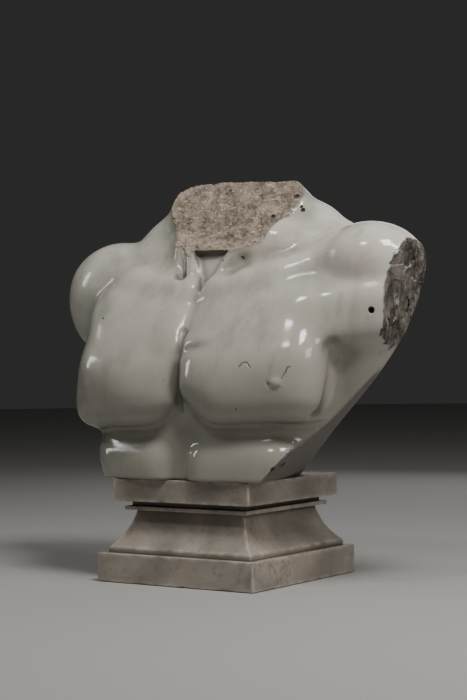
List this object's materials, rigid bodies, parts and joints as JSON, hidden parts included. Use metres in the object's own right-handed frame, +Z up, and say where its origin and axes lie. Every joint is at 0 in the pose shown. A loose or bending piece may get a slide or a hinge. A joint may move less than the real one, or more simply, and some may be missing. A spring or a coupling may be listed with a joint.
{
  "type": "marble torso sculpture on a plinth",
  "caption": "Broken marble male torso without head or arms, resting on a square moulded marble plinth.",
  "frame": {"origin": "centre of the plinth's square underside, on the floor", "axes": "+Z up, -Y the way the chest faces, +X towards the figure's left arm stump"},
  "size_m": [0.6732, 0.3105, 0.6447],
  "materials": {
    "polished_marble": "polished",
    "honed_marble": "honed, worn at the edges"
  },
  "bodies": {
    "root": {"torso": "polished_marble", "plinth": "honed_marble"}
  },
  "joints": []
}
